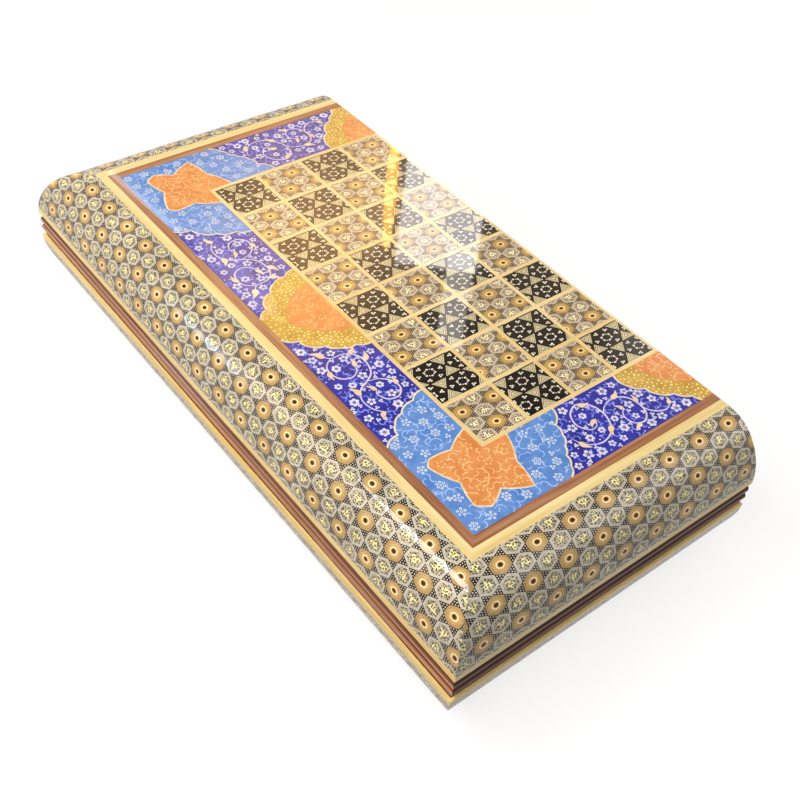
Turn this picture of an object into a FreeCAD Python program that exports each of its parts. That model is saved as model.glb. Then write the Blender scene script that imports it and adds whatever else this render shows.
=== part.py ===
import FreeCAD, Part
import math
import os

# A folding chess and backgammon board, closed. Two mirrored leaves are hinged along one long edge.
# Outside, each leaf carries half a chessboard; inside, half a backgammon field.
# The origin is at the middle of the lower face, +X points to the fold edge and +Y along the fold.
# Every size is in millimetres.

# Chess face: squares between light strips, a painted border, then two narrow frames
squares_across = 4
squares_along = 8
square_pitch = 38.0
grid_strip = 3.0
fold_edge_strip = 2.0
painted_border = 47.0
brown_strip = 6.5
cream_strip = 6.5

# Bulged sides: how far they reach out past the flat face and how far they drop to the rim
bulge_run = 34.5
bulge_drop = 41.5
bulge_turn = math.radians(45.0)
veneer = 2.0
stringing_height = 4.75

# Rim cap with a rounded bead, round the mouth of each leaf
rim_height = 10.0
bead_rise = 1.25
bead_setback = 0.25

# Core of each leaf
rail_width = 20.0
fold_rail_width = 12.0
deck_thickness = 12.0

# Backgammon field
field_thickness = 3.0
field_border = 4.0
points_per_end = 6
point_length = 185.0
point_spacing = 4.0
point_tip = 1.5

# Hinges
hinge_count = 2
hinge_spread = 300.0
hinge_length = 50.0
plate_width = 10.0
plate_thickness = 1.5
knuckle_count = 3
knuckle_diameter = 5.5
knuckle_gap = 0.2
barrel_clearance = 0.4
mortise_clearance = 0.1
axis_standoff = 0.25
pin_diameter = 2.6
pin_clearance = 0.05

# Countersunk hinge screws
screws_per_plate = 2
screw_spacing = 28.0
screw_from_axis = 6.0
screw_head_diameter = 4.8
screw_head_height = 1.1
screw_diameter = 2.4
screw_length = 7.0
screw_clearance = 0.05

# Sizes that follow from those above
leaf_depth = bulge_drop + rim_height
flat_run = cream_strip + brown_strip + painted_border + grid_strip / 2
board_width = bulge_run + flat_run + squares_across * square_pitch
board_length = 2 * (bulge_run + flat_run) + squares_along * square_pitch
half_width = board_width / 2
half_length = board_length / 2
flat_x = -half_width + bulge_run
flat_y = half_length - bulge_run
core_top = leaf_depth - veneer
deck_under = core_top - deck_thickness
inner_x = -half_width + rail_width
inner_fold_x = half_width - fold_rail_width
inner_y = half_length - rail_width
field_top = deck_under - field_thickness
axis_x = half_width + axis_standoff
knuckle_radius = knuckle_diameter / 2
barrel_radius = knuckle_radius + barrel_clearance

V = FreeCAD.Vector
SIDES = ("long", "near_end", "far_end")


# Solids that the pieces are cut from

def block(x_range, y_range, z_range):
    """A box between two values on each axis."""
    low = V(x_range[0], y_range[0], z_range[0])
    high = V(x_range[1], y_range[1], z_range[1])
    size = high - low
    return Part.makeBox(size.x, size.y, size.z, low)


def slab(outline, z_range):
    """A flat piece over an outline of (x, y) corners."""
    corners = [V(x, y, z_range[0]) for x, y in outline]
    face = Part.Face(Part.makePolygon(corners + corners[:1]))
    return face.extrude(V(0, 0, z_range[1] - z_range[0]))


def rod(x, y_range, radius):
    """A round bar along the fold, on the hinge axis height."""
    return Part.makeCylinder(radius, y_range[1] - y_range[0], V(x, y_range[0], 0), V(0, 1, 0))


def turned(profile, foot):
    """A round piece about a vertical axis through foot, from (radius, height) corners."""
    corners = [foot + V(radius, 0, height) for radius, height in profile]
    face = Part.Face(Part.makePolygon(corners + corners[:1]))
    return face.revolve(foot, V(0, 0, 1), 360)


def bulge_arcs(inset):
    """The side profile as two tangent arcs of (out, height) points, from the flat face to the rim."""
    sine = math.sin(bulge_turn)
    cosine = math.cos(bulge_turn)
    growth = (bulge_drop - bulge_run) / (sine + cosine - 1)
    upper_radius = bulge_run - growth * (1 - sine)
    lower_radius = upper_radius + growth
    upper_centre = (0.0, leaf_depth - upper_radius)
    lower_centre = (-growth * sine, upper_centre[1] - growth * cosine)

    def on_arc(centre, radius, angle):
        return (centre[0] + radius * math.sin(angle), centre[1] + radius * math.cos(angle))

    def arc(centre, radius, start, end):
        return [on_arc(centre, radius - inset, angle) for angle in (start, (start + end) / 2, end)]

    return [arc(upper_centre, upper_radius, 0.0, bulge_turn),
            arc(lower_centre, lower_radius, bulge_turn, math.pi / 2)]


def bead_arcs():
    """The rim's outer face as one arc from its upper edge over the crest to the seam."""
    crest = bulge_run - bead_setback
    edge = crest - bead_rise
    return [[(edge, rim_height), (crest, rim_height / 2), (edge, 0.0)]]


def bulged_form(arcs):
    """The solid whose two ends and one long side follow the arcs; the fold side is flat."""
    top = arcs[0][0]
    bottom = arcs[-1][2]

    def curve(place):
        return [Part.Arc(*[place(*point) for point in arc]).toShape() for arc in arcs]

    def prism(edges, sweep):
        return Part.Face(Part.Wire(Part.__sortEdges__(edges))).extrude(sweep)

    def long_side(out, height):
        return V(flat_x - out, -half_length, height)

    def near_end(out, height):
        return V(-half_width, -flat_y - out, height)

    def far_end(out, height):
        return V(-half_width, flat_y + out, height)

    fold_bottom = V(half_width, -half_length, bottom[1])
    fold_top = V(half_width, -half_length, top[1])
    across = curve(long_side)
    across.append(Part.makeLine(long_side(*bottom), fold_bottom))
    across.append(Part.makeLine(fold_bottom, fold_top))
    across.append(Part.makeLine(fold_top, long_side(*top)))
    along = curve(near_end) + curve(far_end)
    along.append(Part.makeLine(near_end(*bottom), far_end(*bottom)))
    along.append(Part.makeLine(near_end(*top), far_end(*top)))
    return prism(across, V(0, board_length, 0)).common(prism(along, V(board_width, 0, 0)))


def side_zone(side):
    """The part of a leaf that belongs to one side, cut at 45 degrees at the two bulged corners."""
    reach = half_width
    corner_y = half_length - reach
    if side == "long":
        outline = [(-half_width, -half_length), (0, -corner_y), (0, corner_y), (-half_width, half_length)]
    else:
        sign = -1 if side == "near_end" else 1
        outline = [(-half_width, sign * half_length), (half_width, sign * half_length),
                   (half_width, sign * corner_y), (0, sign * corner_y)]
    return slab(outline, (0, leaf_depth))


def height_band(bottom, top):
    """Everything in a leaf between two heights."""
    return block((-board_width, board_width), (-board_length, board_length), (bottom, top))


def mouth(bottom, top):
    """The room inside the three bulged rails, open to the fold side."""
    return block((inner_x, board_width), (-inner_y, inner_y), (bottom, top))


# Pieces of one leaf, with the seam at height 0 and the chess face at leaf_depth

def deck(core):
    return core.common(height_band(deck_under, core_top))


def rails(core):
    ring = core.common(height_band(rim_height, deck_under)).cut(mouth(rim_height, deck_under))
    return {side: ring.common(side_zone(side)) for side in SIDES}


def fold_rail():
    rail = block((inner_fold_x, half_width), (-inner_y, inner_y), (rim_height, deck_under))
    return rail.cut(Part.makeCompound(screw_holes()))


def rims():
    ring = bulged_form(bead_arcs()).cut(mouth(0, rim_height))
    return {side: ring.common(side_zone(side)) for side in SIDES}


def fold_rim():
    """The rim on the fold side, let in for the hinge plates and hollowed for their barrels."""
    rim = block((inner_fold_x, half_width), (-inner_y, inner_y), (0, rim_height))
    half_mortise = hinge_length / 2 + mortise_clearance
    half_barrel = hinge_length / 2 + barrel_clearance
    for middle in hinge_middles():
        plate_seat = block((axis_x - plate_width - mortise_clearance, board_width),
                           (middle - half_mortise, middle + half_mortise), (0, plate_thickness))
        barrel_seat = rod(axis_x, (middle - half_barrel, middle + half_barrel), barrel_radius)
        rim = rim.cut(plate_seat).cut(barrel_seat)
    return rim.cut(Part.makeCompound(screw_holes()))


def side_skins(outer, core, bottom, top):
    """The veneer between two heights, in three mitred pieces."""
    face = block((flat_x, board_width), (-flat_y, flat_y), (core_top, leaf_depth))
    skin = outer.cut(core).cut(face).common(height_band(bottom, top))
    return {side: skin.common(side_zone(side)) for side in SIDES}


def frame_strips(inset, width):
    """A flat strip round the three bulged sides of the chess face, mitred at its corners."""
    outer_x = flat_x + inset
    outer_y = flat_y - inset
    inner_strip_x = outer_x + width
    inner_strip_y = outer_y - width
    outlines = [[(outer_x, -outer_y), (inner_strip_x, -inner_strip_y),
                 (inner_strip_x, inner_strip_y), (outer_x, outer_y)]]
    for sign in (-1, 1):
        outlines.append([(outer_x, sign * outer_y), (half_width, sign * outer_y),
                         (half_width, sign * inner_strip_y), (inner_strip_x, sign * inner_strip_y)])
    return Part.makeCompound([slab(outline, (core_top, leaf_depth)) for outline in outlines])


def painted_panel():
    """The U-shaped painted border in one piece, open to the fold edge."""
    inset = cream_strip + brown_strip
    outer_x = flat_x + inset
    outer_y = flat_y - inset
    grid_x = outer_x + painted_border
    grid_y = outer_y - painted_border
    outline = [(half_width, -outer_y), (outer_x, -outer_y), (outer_x, outer_y), (half_width, outer_y),
               (half_width, grid_y), (grid_x, grid_y), (grid_x, -grid_y), (half_width, -grid_y)]
    return slab(outline, (core_top, leaf_depth))


def column_edges():
    """The gaps between the long grid strips, as x ranges from the painted border to the fold edge."""
    first = half_width - squares_across * square_pitch
    edges = []
    for column in range(squares_across):
        left = first + column * square_pitch + grid_strip / 2
        last = column == squares_across - 1
        right = half_width - fold_edge_strip if last else left + square_pitch - grid_strip
        edges.append((left, right))
    return edges


def row_edges():
    """The gaps between the cross strips, as y ranges from the near end to the far end."""
    first = -squares_along * square_pitch / 2 + grid_strip / 2
    starts = [first + row * square_pitch for row in range(squares_along)]
    return [(start, start + square_pitch - grid_strip) for start in starts]


def grid_strips():
    """The light strips between the squares: long ones in one length, cross ones cut between them."""
    columns = column_edges()
    rows = row_edges()
    low = rows[0][0] - grid_strip
    high = rows[-1][1] + grid_strip
    lefts = [columns[0][0] - grid_strip] + [right for left, right in columns]
    rights = [left for left, right in columns] + [half_width]
    strips = [block(x_range, (low, high), (core_top, leaf_depth)) for x_range in zip(lefts, rights)]
    starts = [low] + [end for start, end in rows]
    for x_range in columns:
        for start in starts:
            strips.append(block(x_range, (start, start + grid_strip), (core_top, leaf_depth)))
    return Part.makeCompound(strips)


def squares(parity):
    """The chess squares of one colour; parity 0 holds the square in the outer near corner."""
    tiles = []
    for column, x_range in enumerate(column_edges()):
        for row, y_range in enumerate(row_edges()):
            if (column + row) % 2 == parity:
                tiles.append(block(x_range, y_range, (core_top, leaf_depth)))
    return Part.makeCompound(tiles)


def point_outlines():
    """The tapered points at both ends of a leaf, each with the parity of its colour."""
    left = inner_x + field_border
    pitch = (inner_fold_x - field_border - left) / points_per_end
    base_y = inner_y - field_border
    tip_y = base_y - point_length
    outlines = []
    for end, sign in enumerate((-1, 1)):
        for number in range(points_per_end):
            start = left + number * pitch + point_spacing / 2
            stop = start + pitch - point_spacing
            middle = (start + stop) / 2
            outline = [(start, sign * base_y), (stop, sign * base_y),
                       (middle + point_tip / 2, sign * tip_y), (middle - point_tip / 2, sign * tip_y)]
            outlines.append(((number + end) % 2, outline))
    return outlines


def points(parity):
    solids = [slab(outline, (field_top, deck_under)) for colour, outline in point_outlines() if colour == parity]
    return Part.makeCompound(solids)


def field_panel():
    """The floor of the backgammon field, cut out for the inlaid points."""
    panel = block((inner_x + field_border, inner_fold_x - field_border),
                  (-inner_y + field_border, inner_y - field_border), (field_top, deck_under))
    return panel.cut(Part.makeCompound([points(0), points(1)]))


def field_stringing():
    """Four mitred strips round the backgammon field."""
    outer = [(inner_x, -inner_y), (inner_fold_x, -inner_y), (inner_fold_x, inner_y), (inner_x, inner_y)]
    turns = [(1, 1), (-1, 1), (-1, -1), (1, -1)]
    inner = [(x + dx * field_border, y + dy * field_border) for (x, y), (dx, dy) in zip(outer, turns)]
    strips = []
    for corner in range(len(outer)):
        after = (corner + 1) % len(outer)
        outline = [outer[corner], outer[after], inner[after], inner[corner]]
        strips.append(slab(outline, (field_top, deck_under)))
    return Part.makeCompound(strips)


# Hinges

def hinge_middles():
    """Where the hinges sit along the fold."""
    step = hinge_spread / max(hinge_count - 1, 1)
    return [(number - (hinge_count - 1) / 2) * step for number in range(hinge_count)]


def knuckle_ranges(middle):
    """The y range of each knuckle of one hinge, from its near end."""
    pitch = hinge_length / knuckle_count
    start = middle - hinge_length / 2
    half_gap = knuckle_gap / 2
    return [(start + number * pitch + half_gap, start + (number + 1) * pitch - half_gap)
            for number in range(knuckle_count)]


def screw_feet(middle):
    """Where the screws of one plate enter, at the seam."""
    offsets = [(number - (screws_per_plate - 1) / 2) * screw_spacing for number in range(screws_per_plate)]
    return [V(axis_x - screw_from_axis, middle + offset, 0) for offset in offsets]


def screw(foot, clearance):
    """A countersunk screw, or the hole for one when it has a clearance."""
    head = screw_head_diameter / 2 + clearance
    shank = screw_diameter / 2 + clearance
    end = screw_length + clearance
    profile = [(0, 0), (head, 0), (shank, screw_head_height), (shank, end), (0, end)]
    return turned(profile, foot)


def screws():
    return Part.makeCompound([screw(foot, 0.0) for middle in hinge_middles() for foot in screw_feet(middle)])


def screw_holes():
    return [screw(foot, screw_clearance) for middle in hinge_middles() for foot in screw_feet(middle)]


def hinge_leaf(middle, parity):
    """One plate of a hinge with every second knuckle rolled onto it."""
    whole = (middle - hinge_length / 2, middle + hinge_length / 2)
    plate = block((axis_x - plate_width, axis_x), whole, (0, plate_thickness))
    for number, y_range in enumerate(knuckle_ranges(middle)):
        if number % 2 == parity:
            plate = plate.fuse(rod(axis_x, y_range, knuckle_radius))
        else:
            room = (y_range[0] - knuckle_gap, y_range[1] + knuckle_gap)
            plate = plate.cut(rod(axis_x, room, barrel_radius))
    bore = rod(axis_x, whole, pin_diameter / 2 + pin_clearance)
    holes = [screw(foot, screw_clearance) for foot in screw_feet(middle)]
    return plate.cut(bore).cut(Part.makeCompound(holes)).removeSplitter()


def hinge_pin(middle):
    """A plain pin through all the knuckles of one hinge, flush with their ends."""
    return rod(axis_x, (middle - hinge_length / 2, middle + hinge_length / 2), pin_diameter / 2)


# The two leaves in place and their files

def in_upper_leaf(shape):
    return shape.translated(V(0, 0, leaf_depth))


def in_lower_leaf(shape):
    return shape.mirror(V(0, 0, 0), V(0, 0, 1)).translated(V(0, 0, leaf_depth))


def leaf_pieces(dark_parity):
    """Every piece of one leaf by name."""
    outer = bulged_form(bulge_arcs(0.0))
    core = bulged_form(bulge_arcs(veneer))
    stringing_top = rim_height + stringing_height
    pieces = {"deck": deck(core), "fold_rail": fold_rail(), "fold_rim": fold_rim()}
    for side, shape in rails(core).items():
        pieces[side + "_rail"] = shape
    for side, shape in rims().items():
        pieces[side + "_rim"] = shape
    for side, shape in side_skins(outer, core, stringing_top, leaf_depth).items():
        pieces[side + "_khatam"] = shape
    strips = side_skins(outer, core, rim_height, stringing_top)
    pieces["side_stringing"] = Part.makeCompound(list(strips.values()))
    pieces["cream_frame"] = frame_strips(0.0, cream_strip)
    pieces["brown_frame"] = frame_strips(cream_strip, brown_strip)
    pieces["painted_border"] = painted_panel()
    pieces["grid_strips"] = grid_strips()
    pieces["dark_squares"] = squares(dark_parity)
    pieces["light_squares"] = squares(1 - dark_parity)
    pieces["field_panel"] = field_panel()
    pieces["field_stringing"] = field_stringing()
    pieces["dark_points"] = points(dark_parity)
    pieces["light_points"] = points(1 - dark_parity)
    pieces["hinge_screws"] = screws()
    return pieces


def all_pieces():
    """Every node of the board in its place, by name."""
    pieces = {}
    for leaf, place, dark_parity in (("upper", in_upper_leaf, 1), ("lower", in_lower_leaf, 0)):
        for name, shape in leaf_pieces(dark_parity).items():
            pieces[leaf + "_" + name] = place(shape)
    for number, middle in enumerate(hinge_middles(), start=1):
        hinge = "hinge_" + str(number)
        pieces[hinge + "_upper_plate"] = in_upper_leaf(hinge_leaf(middle, 1))
        pieces[hinge + "_lower_plate"] = in_lower_leaf(hinge_leaf(middle, 0))
        pieces[hinge + "_pin"] = in_upper_leaf(hinge_pin(middle))
    return pieces


os.makedirs("parts", exist_ok=True)
for node, shape in all_pieces().items():
    shape.exportStep("parts/" + node + ".step")
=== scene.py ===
"""Looks of a folding chess and backgammon board: khatam marquetry, a painted border and clear lacquer."""

import math
import random

import bpy
from mathutils import Matrix, Quaternion, Vector


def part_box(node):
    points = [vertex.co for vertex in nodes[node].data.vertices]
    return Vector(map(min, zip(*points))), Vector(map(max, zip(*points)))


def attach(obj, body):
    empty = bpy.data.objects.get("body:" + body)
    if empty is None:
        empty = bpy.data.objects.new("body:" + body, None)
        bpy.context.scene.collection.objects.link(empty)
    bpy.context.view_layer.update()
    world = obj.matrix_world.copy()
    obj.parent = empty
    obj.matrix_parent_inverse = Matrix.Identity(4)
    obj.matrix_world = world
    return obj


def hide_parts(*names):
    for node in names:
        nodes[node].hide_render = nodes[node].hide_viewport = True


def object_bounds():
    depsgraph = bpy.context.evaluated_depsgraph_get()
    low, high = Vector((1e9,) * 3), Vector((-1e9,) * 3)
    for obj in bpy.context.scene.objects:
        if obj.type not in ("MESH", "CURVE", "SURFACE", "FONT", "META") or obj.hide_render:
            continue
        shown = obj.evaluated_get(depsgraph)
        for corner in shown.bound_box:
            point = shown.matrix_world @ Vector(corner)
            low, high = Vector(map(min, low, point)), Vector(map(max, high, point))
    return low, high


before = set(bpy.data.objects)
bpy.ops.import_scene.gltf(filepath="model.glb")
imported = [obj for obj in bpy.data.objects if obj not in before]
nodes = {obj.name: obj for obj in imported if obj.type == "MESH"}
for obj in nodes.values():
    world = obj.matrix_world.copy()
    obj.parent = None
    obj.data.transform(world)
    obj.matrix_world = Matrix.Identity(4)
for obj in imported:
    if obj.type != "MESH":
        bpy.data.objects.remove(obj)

cad_low, cad_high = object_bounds()
MM = 0.001
RIGHT_ANGLE = math.radians(90)

# Sizes read from the CAD nodes, in metres
face_low, face_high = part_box("upper_cream_frame")
strip_low, strip_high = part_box("upper_side_stringing")
rim_low, rim_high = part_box("upper_long_rim")
panel_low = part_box("upper_painted_border")[0]
grid_low, grid_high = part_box("upper_grid_strips")
tile_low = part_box("upper_dark_squares")[0]
TOP = face_high.z
SEAM = rim_low.z
FOLD = face_high.x
VENEER = face_high.z - face_low.z
SQUARES_ALONG = 8
GRID_STRIP = tile_low.x - grid_low.x
SQUARE = (grid_high.y - grid_low.y - GRID_STRIP) / SQUARES_ALONG

# The bulged side: two arcs that meet half way round, the lower one wider
BULGE_RUN = face_low.x - strip_low.x
BULGE_DROP = TOP - strip_low.z
ARC_TURN = math.radians(45)
ARC_GROWTH = (BULGE_DROP - BULGE_RUN) / (math.sin(ARC_TURN) + math.cos(ARC_TURN) - 1)
UPPER_RADIUS = BULGE_RUN - ARC_GROWTH * (1 - math.sin(ARC_TURN))
LOWER_RADIUS = UPPER_RADIUS + ARC_GROWTH
ARC_SHIFT = ARC_GROWTH * math.cos(ARC_TURN)
ARC_STEPS = 20

# The rim: a recess under the cream strip and a round bead next to the seam
BEAD_HEIGHT = 6.8 * MM
BEAD_RISE = 2.2 * MM
BEAD_STEPS = 14

# Painted shade in the rim's hollows: it starts away from the bead's bright crest, and skips level faces
CREST = 2.9 * MM
SHADE_START = 1.3 * MM
SHADE_FULL = 2.1 * MM
LEVEL = 0.95

# Khatam lattice: flowers in rows, each row half a pitch beside the last
END_PITCH = 27.1 * MM
LONG_PITCH = 26.0 * MM
SIDE_ROW = 17.3 * MM
END_FIRST_ROW = 9.6 * MM
LONG_FIRST_ROW = 10.1 * MM
END_FLOWER = -76.8 * MM
LONG_FLOWER = 34.6 * MM
SQUARE_PITCH = SQUARE * 2 / 3
SQUARE_ROW = 17.3 * MM
SQUARE_FIRST_ROW = 9.9 * MM
SQUARE_FLOWER = 3.9 * MM
SQUARE_SLIDE = 6.5 * MM

# Khatam figures: lengths in pitches of the lattice, but a grain's size in spacings of the grains
STAR_CELL = 0.184
STAR_REACH = 0.168
STAR_SHARPNESS = 1.7
GRAINS_PER_PITCH = 14.0
GRAIN_STRAY = 0.65
GRAIN_SIZE = 0.31
TRIANGLE_EDGE = 0.493
TRIANGLE_DOTS = ((0.415, 0.0), (0.352, 0.034), (0.288, 0.0), (0.288, 0.072))
TRIANGLE_DOT_RADIUS = 0.0152
FLOWER_ROUNDING = 0.3
FLOWER_EDGE = 0.2515
FLOWER_RINGS = (("inner", 0.186), ("ring", 0.112), ("glow", 0.078), ("core", 0.058))
BONE_DOTS = (((0.150, 0.0), 0.033), ((0.120, 0.069), 0.018), ((0.262, 0.151), 0.030),
             ((0.330, 0.144), 0.029))
EBONY_EDGE = 0.016
SLIVER_BAND = 0.024

# Limits for picking parts of a mesh: how squarely a face points some way, and the least length that counts
FACING = 0.9
TINY = 1e-6


# Small helpers for modelling


def deselect():
    """Object mode with nothing selected."""
    if bpy.context.mode != "OBJECT":
        bpy.ops.object.mode_set(mode="OBJECT")
    bpy.ops.object.select_all(action="DESELECT")


def pick(piece):
    """Object mode with one piece selected and active."""
    deselect()
    piece.select_set(True)
    bpy.context.view_layer.objects.active = piece


def edit(piece, select="SELECT", kind="FACE"):
    """Edit mode on one piece, by its faces or edges, with all of it selected or none."""
    pick(piece)
    bpy.ops.object.mode_set(mode="EDIT")
    bpy.ops.mesh.select_mode(type=kind)
    bpy.ops.mesh.select_all(action=select)


def edit_only(piece, kind, chosen):
    """Edit mode on one piece, with only the faces or edges selected that pass a test."""
    edit(piece, "DESELECT", kind)
    bpy.ops.object.mode_set(mode="OBJECT")
    parts = piece.data.polygons if kind == "FACE" else piece.data.edges
    for part in parts:
        part.select = chosen(part)
    bpy.ops.object.mode_set(mode="EDIT")


def apply_place(piece):
    """Moves the piece's place, turn and size into its mesh."""
    pick(piece)
    bpy.ops.object.transform_apply(location=True, rotation=True, scale=True)


def join(pieces):
    """Joins pieces into the first of them."""
    pick(pieces[0])
    for piece in pieces:
        piece.select_set(True)
    bpy.ops.object.join()


def copied(piece, name, matrix):
    """A copy with its own mesh, put through a matrix; a mirrored one gets its faces turned outwards."""
    twin = piece.copy()
    twin.data = piece.data.copy()
    twin.name = name
    bpy.context.collection.objects.link(twin)
    twin.data.transform(matrix)
    if matrix.determinant() < 0:
        twin.data.flip_normals()
    return twin


MIRROR_ENDS = Matrix.Scale(-1, 4, Vector((0, 1, 0)))
MIRROR_LEAVES = Matrix.Translation((0, 0, 2 * SEAM)) @ Matrix.Scale(-1, 4, Vector((0, 0, 1)))


def cut(piece, point, normal):
    """Cuts a piece by a plane, drops what lies past it along the normal and closes the cut."""
    edit(piece)
    bpy.ops.mesh.bisect(plane_co=point, plane_no=normal, use_fill=True, clear_outer=True)
    deselect()


def mitre(piece, edge, corner):
    """Cuts the end of a bar at 45 degrees, through the corner of the flat face."""
    side = 1 if corner > 0 else -1
    cut(piece, (corner, -edge, TOP), (side, 1, 0))


# Pieces of the bulged sides, drawn for a side that runs along X and faces -Y


def bent_skin(name, start, end, edge):
    """A bar as thick as the veneer, bent over the bulge from the flat face down to the rim."""
    deselect()
    centre = ((start + end) / 2, -edge, TOP - VENEER / 2)
    bpy.ops.mesh.primitive_plane_add(size=1, location=centre, rotation=(RIGHT_ANGLE, 0, 0))
    bar = bpy.context.object
    bar.name = name
    bar.scale = (end - start, VENEER, 1)
    apply_place(bar)
    edit(bar)
    upper = (0, -edge, TOP - UPPER_RADIUS)
    lower = (0, -edge + ARC_SHIFT, TOP - UPPER_RADIUS - ARC_SHIFT)
    bpy.ops.mesh.spin(steps=ARC_STEPS, angle=-ARC_TURN, center=upper, axis=(1, 0, 0))
    bpy.ops.mesh.spin(steps=ARC_STEPS, angle=-ARC_TURN, center=lower, axis=(1, 0, 0))
    bpy.ops.mesh.select_all(action="SELECT")
    bpy.ops.mesh.normals_make_consistent(inside=False)
    deselect()
    return bar


def unroll(piece, edge):
    """A UV map in metres: along the side, and down the bulge from the flat face."""
    layer = piece.data.uv_layers.new(name="unrolled")
    for loop in piece.data.loops:
        place = piece.data.vertices[loop.vertex_index].co
        turn = math.atan2(-edge - place.y, place.z - TOP + UPPER_RADIUS)
        down = UPPER_RADIUS * turn
        if turn > ARC_TURN:
            turn = math.atan2(-edge + ARC_SHIFT - place.y, place.z - TOP + UPPER_RADIUS + ARC_SHIFT)
            down = UPPER_RADIUS * ARC_TURN + LOWER_RADIUS * (turn - ARC_TURN)
        layer.data[loop.index].uv = (place.x, down)


def beaded_rim(name, start, end, edge):
    """A rim bar with a recess under the cream strip and a round bead below it."""
    height = rim_high.z - rim_low.z
    front = edge + BULGE_RUN - (rim_low.x - strip_low.x) - BEAD_RISE
    back = edge + BULGE_RUN - (rim_high.x - strip_low.x)
    radius = BEAD_HEIGHT ** 2 / (8 * BEAD_RISE) + BEAD_RISE / 2
    half_turn = math.asin(BEAD_HEIGHT / 2 / radius)
    deselect()
    centre = ((start + end) / 2, -(front + back) / 2, (rim_low.z + rim_high.z) / 2)
    bpy.ops.mesh.primitive_cube_add(size=1, location=centre)
    bar = bpy.context.object
    bar.name = name
    bar.scale = (end - start, front - back, height)
    apply_place(bar)

    def is_top_front(line):
        """Whether an edge is the upper one at the front."""
        ends = [bar.data.vertices[i].co for i in line.vertices]
        return all(p.z > centre[2] and p.y < -back - TINY for p in ends)

    edit_only(bar, "FACE", lambda face: face.normal.y < -FACING)
    bpy.ops.mesh.delete(type="FACE")
    edit_only(bar, "EDGE", is_top_front)
    bpy.ops.mesh.extrude_edges_move(TRANSFORM_OT_translate={"value": (0, 0, BEAD_HEIGHT - height)})
    pivot = (0, -front - BEAD_RISE + radius, rim_low.z + BEAD_HEIGHT / 2)
    bpy.ops.mesh.spin(steps=BEAD_STEPS, angle=-2 * half_turn, center=pivot, axis=(1, 0, 0))
    bpy.ops.mesh.select_all(action="SELECT")
    bpy.ops.mesh.remove_doubles(threshold=TINY)
    bpy.ops.mesh.select_all(action="DESELECT")
    bpy.ops.mesh.select_non_manifold()
    bpy.ops.mesh.edge_face_add()
    bpy.ops.mesh.select_all(action="SELECT")
    bpy.ops.mesh.normals_make_consistent(inside=False)
    deselect()
    return bar


def dress(piece, material):
    """Gives a piece one material all over."""
    piece.data.materials.clear()
    piece.data.materials.append(material)


def settle(piece, body, slot, material, *stands_for):
    """Gives a piece its finish and its body, and hides the CAD nodes that it stands for."""
    dress(piece, material)
    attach(piece, body)
    if stands_for:
        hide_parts(*stands_for)


def smooth(piece, degrees=25):
    """Smooth shading, with edges sharper than the angle kept."""
    pick(piece)
    bpy.ops.object.shade_smooth_by_angle(angle=math.radians(degrees))
    deselect()


# Materials


def linear(code):
    """An sRGB hex colour as linear red, green, blue and alpha."""
    parts = [int(code[i:i + 2], 16) / 255 for i in (1, 3, 5)]
    return [p / 12.92 if p <= 0.04045 else ((p + 0.055) / 1.055) ** 2.4 for p in parts] + [1.0]


def add(tree, kind, inputs=(), output=None, **settings):
    """Adds a node with its settings, links or values, and returns the named or first working output."""
    node = tree.nodes.new("ShaderNode" + kind)
    for name, value in settings.items():
        setattr(node, name, value)
    working = [socket for socket in node.inputs if socket.enabled]
    pairs = inputs.items() if isinstance(inputs, dict) else enumerate(inputs)
    for key, value in pairs:
        socket = node.inputs[key] if isinstance(key, str) else working[key]
        if isinstance(value, bpy.types.NodeSocket):
            tree.links.new(value, socket)
        else:
            socket.default_value = value
    if output:
        return node.outputs[output]
    return next((socket for socket in node.outputs if socket.enabled), None)


def new_material(name):
    """An empty node material and its tree."""
    material = bpy.data.materials.new(name)
    material.use_nodes = True
    material.node_tree.nodes.clear()
    return material, material.node_tree


# How much clear coat lies on each side, and the fine relief that shows in it
COAT_GLOSS = 0.035
SIDE_COAT = 0.5
END_RIM_COAT = 0.2
LONG_RIM_COAT = 0.7
GRAIN_RELIEF = 0.02 * MM
BRUSH_RELIEF = 0.01 * MM
SLIVER_RELIEF = 0.005 * MM
FACE_RIPPLE = 0.015 * MM
SIDE_RIPPLE = 0.45 * MM


def lacquer(tree, colour, roughness, height, depth, coat=1.0):
    """Clear polished lacquer over a colour: a sharp mirror film over a satin ground."""
    bump = add(tree, "Bump", {"Strength": 1.0, "Distance": depth, "Height": height})
    shader = add(tree, "BsdfPrincipled", {
        "Base Color": colour, "Roughness": roughness, "Specular IOR Level": 0.1, "Normal": bump,
        "Coat Weight": coat, "Coat Roughness": COAT_GLOSS, "Coat IOR": 1.45,
    })
    add(tree, "OutputMaterial", {"Surface": shader})


def painted_hollow_shade(tree, colour, hollow_shade_tint):
    """Paints shade into the hollows on both sides of a rim's crest, but not onto its level faces."""
    around = add(tree, "TexCoord").node.outputs
    height = add(tree, "SeparateXYZ", [around["Object"]]).node.outputs["Z"]
    facing = add(tree, "SeparateXYZ", [around["Normal"]]).node.outputs["Z"]
    from_seam = add(tree, "Math", [height, SEAM], operation="SUBTRACT")
    from_seam = add(tree, "Math", [from_seam], operation="ABSOLUTE")
    from_crest = add(tree, "Math", [from_seam, CREST], operation="SUBTRACT")
    from_crest = add(tree, "Math", [from_crest], operation="ABSOLUTE")
    shade_share = add(tree, "MapRange", {"Value": from_crest, "From Min": SHADE_START, "From Max": SHADE_FULL})
    facing = add(tree, "Math", [facing], operation="ABSOLUTE")
    upright = add(tree, "Math", [facing, LEVEL], operation="LESS_THAN")
    shade_share = add(tree, "Math", [shade_share, upright], operation="MULTIPLY")
    return add(tree, "Mix", [shade_share, colour, linear(hollow_shade_tint)], data_type="RGBA", blend_type="MULTIPLY")


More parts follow.
